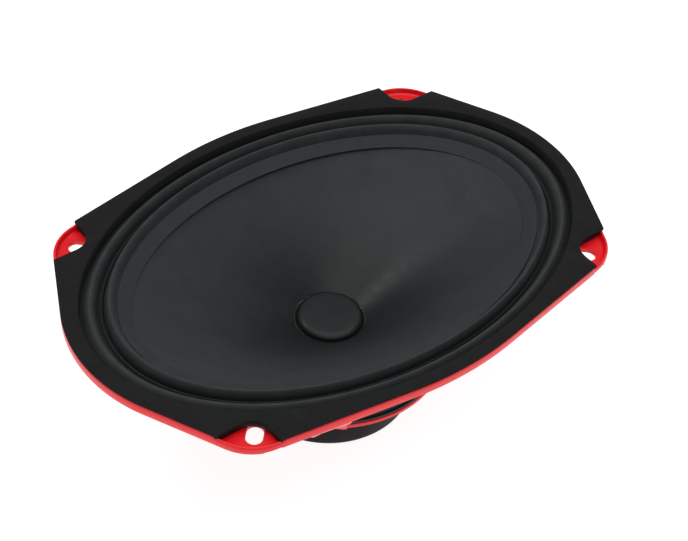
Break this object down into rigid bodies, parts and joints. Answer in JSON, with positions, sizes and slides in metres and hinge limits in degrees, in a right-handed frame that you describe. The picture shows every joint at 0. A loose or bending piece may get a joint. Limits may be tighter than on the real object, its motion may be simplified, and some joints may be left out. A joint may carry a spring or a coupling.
{
  "type": "oval car speaker",
  "caption": "Oval car loudspeaker with an open cast basket, rubber gasket, paper cone on a cloth surround, and a motor in a rubber boot. The cone travels in and out.",
  "frame": {"origin": "centre of the flat underside of the boot over the magnet, on the axis of the voice coil", "axes": "+Z out of the cone, +X along the long side of the oval, terminals on the +Y side"},
  "size_m": [0.2322, 0.1596, 0.08],
  "materials": {
    "basket_red": "red semi-gloss powder coat on die-cast alloy",
    "gasket_rubber": "matt black moulded rubber",
    "surround_cloth": "doped black cloth, fine matt grain",
    "cone_paper": "pressed charcoal paper with short fibres",
    "cap_plastic": "satin black plastic",
    "former_foil": "bright foil",
    "coil_copper": "lacquered copper wire",
    "ring_plastic": "black moulded",
    "spider_cloth": "yellow-brown resin-treated weave",
    "plate_steel": "bright zinc plate",
    "magnet_ferrite": "dark grey sintered ferrite",
    "screen_steel": "black plated",
    "boot_rubber": "satin black moulded rubber",
    "screw_steel": "black plated",
    "board_resin": "brown paper-resin board",
    "terminal_brass": "plain brass",
    "rivet_steel": "nickel plate",
    "solder": "bright solder",
    "lead_tinsel": "braided copper tinsel"
  },
  "bodies": {
    "chassis": {"basket_frame": "basket_red", "front_gasket": "gasket_rubber", "surround": "surround_cloth", "spider_ring": "ring_plastic", "spider": "spider_cloth", "top_plate": "plate_steel", "ferrite_magnet": "magnet_ferrite", "pole_yoke": "plate_steel", "pole_vent_screen": "screen_steel", "magnet_boot": "boot_rubber", "basket_screw_1": "screw_steel", "basket_screw_2": "screw_steel", "basket_screw_3": "screw_steel", "basket_screw_4": "screw_steel", "terminal_board": "board_resin", "terminal_positive": "terminal_brass", "terminal_negative": "terminal_brass", "board_rivet_left": "rivet_steel", "board_rivet_right": "rivet_steel", "lead_wire_positive": "lead_tinsel", "lead_wire_negative": "lead_tinsel"},
    "diaphragm": {"cone": "cone_paper", "dust_cap": "cap_plastic", "voice_coil_former": "former_foil", "voice_coil_winding": "coil_copper", "lead_solder_positive": "solder", "lead_solder_negative": "solder"}
  },
  "joints": [
    {"name": "cone_travel", "type": "slide", "parent": "chassis", "child": "diaphragm", "axis": [0, 0, 1], "range_m": [-0.004, 0.004], "stiffness_N_per_m": 3500, "deforming": ["surround", "spider", "lead_wire_positive", "lead_wire_negative"]}
  ]
}
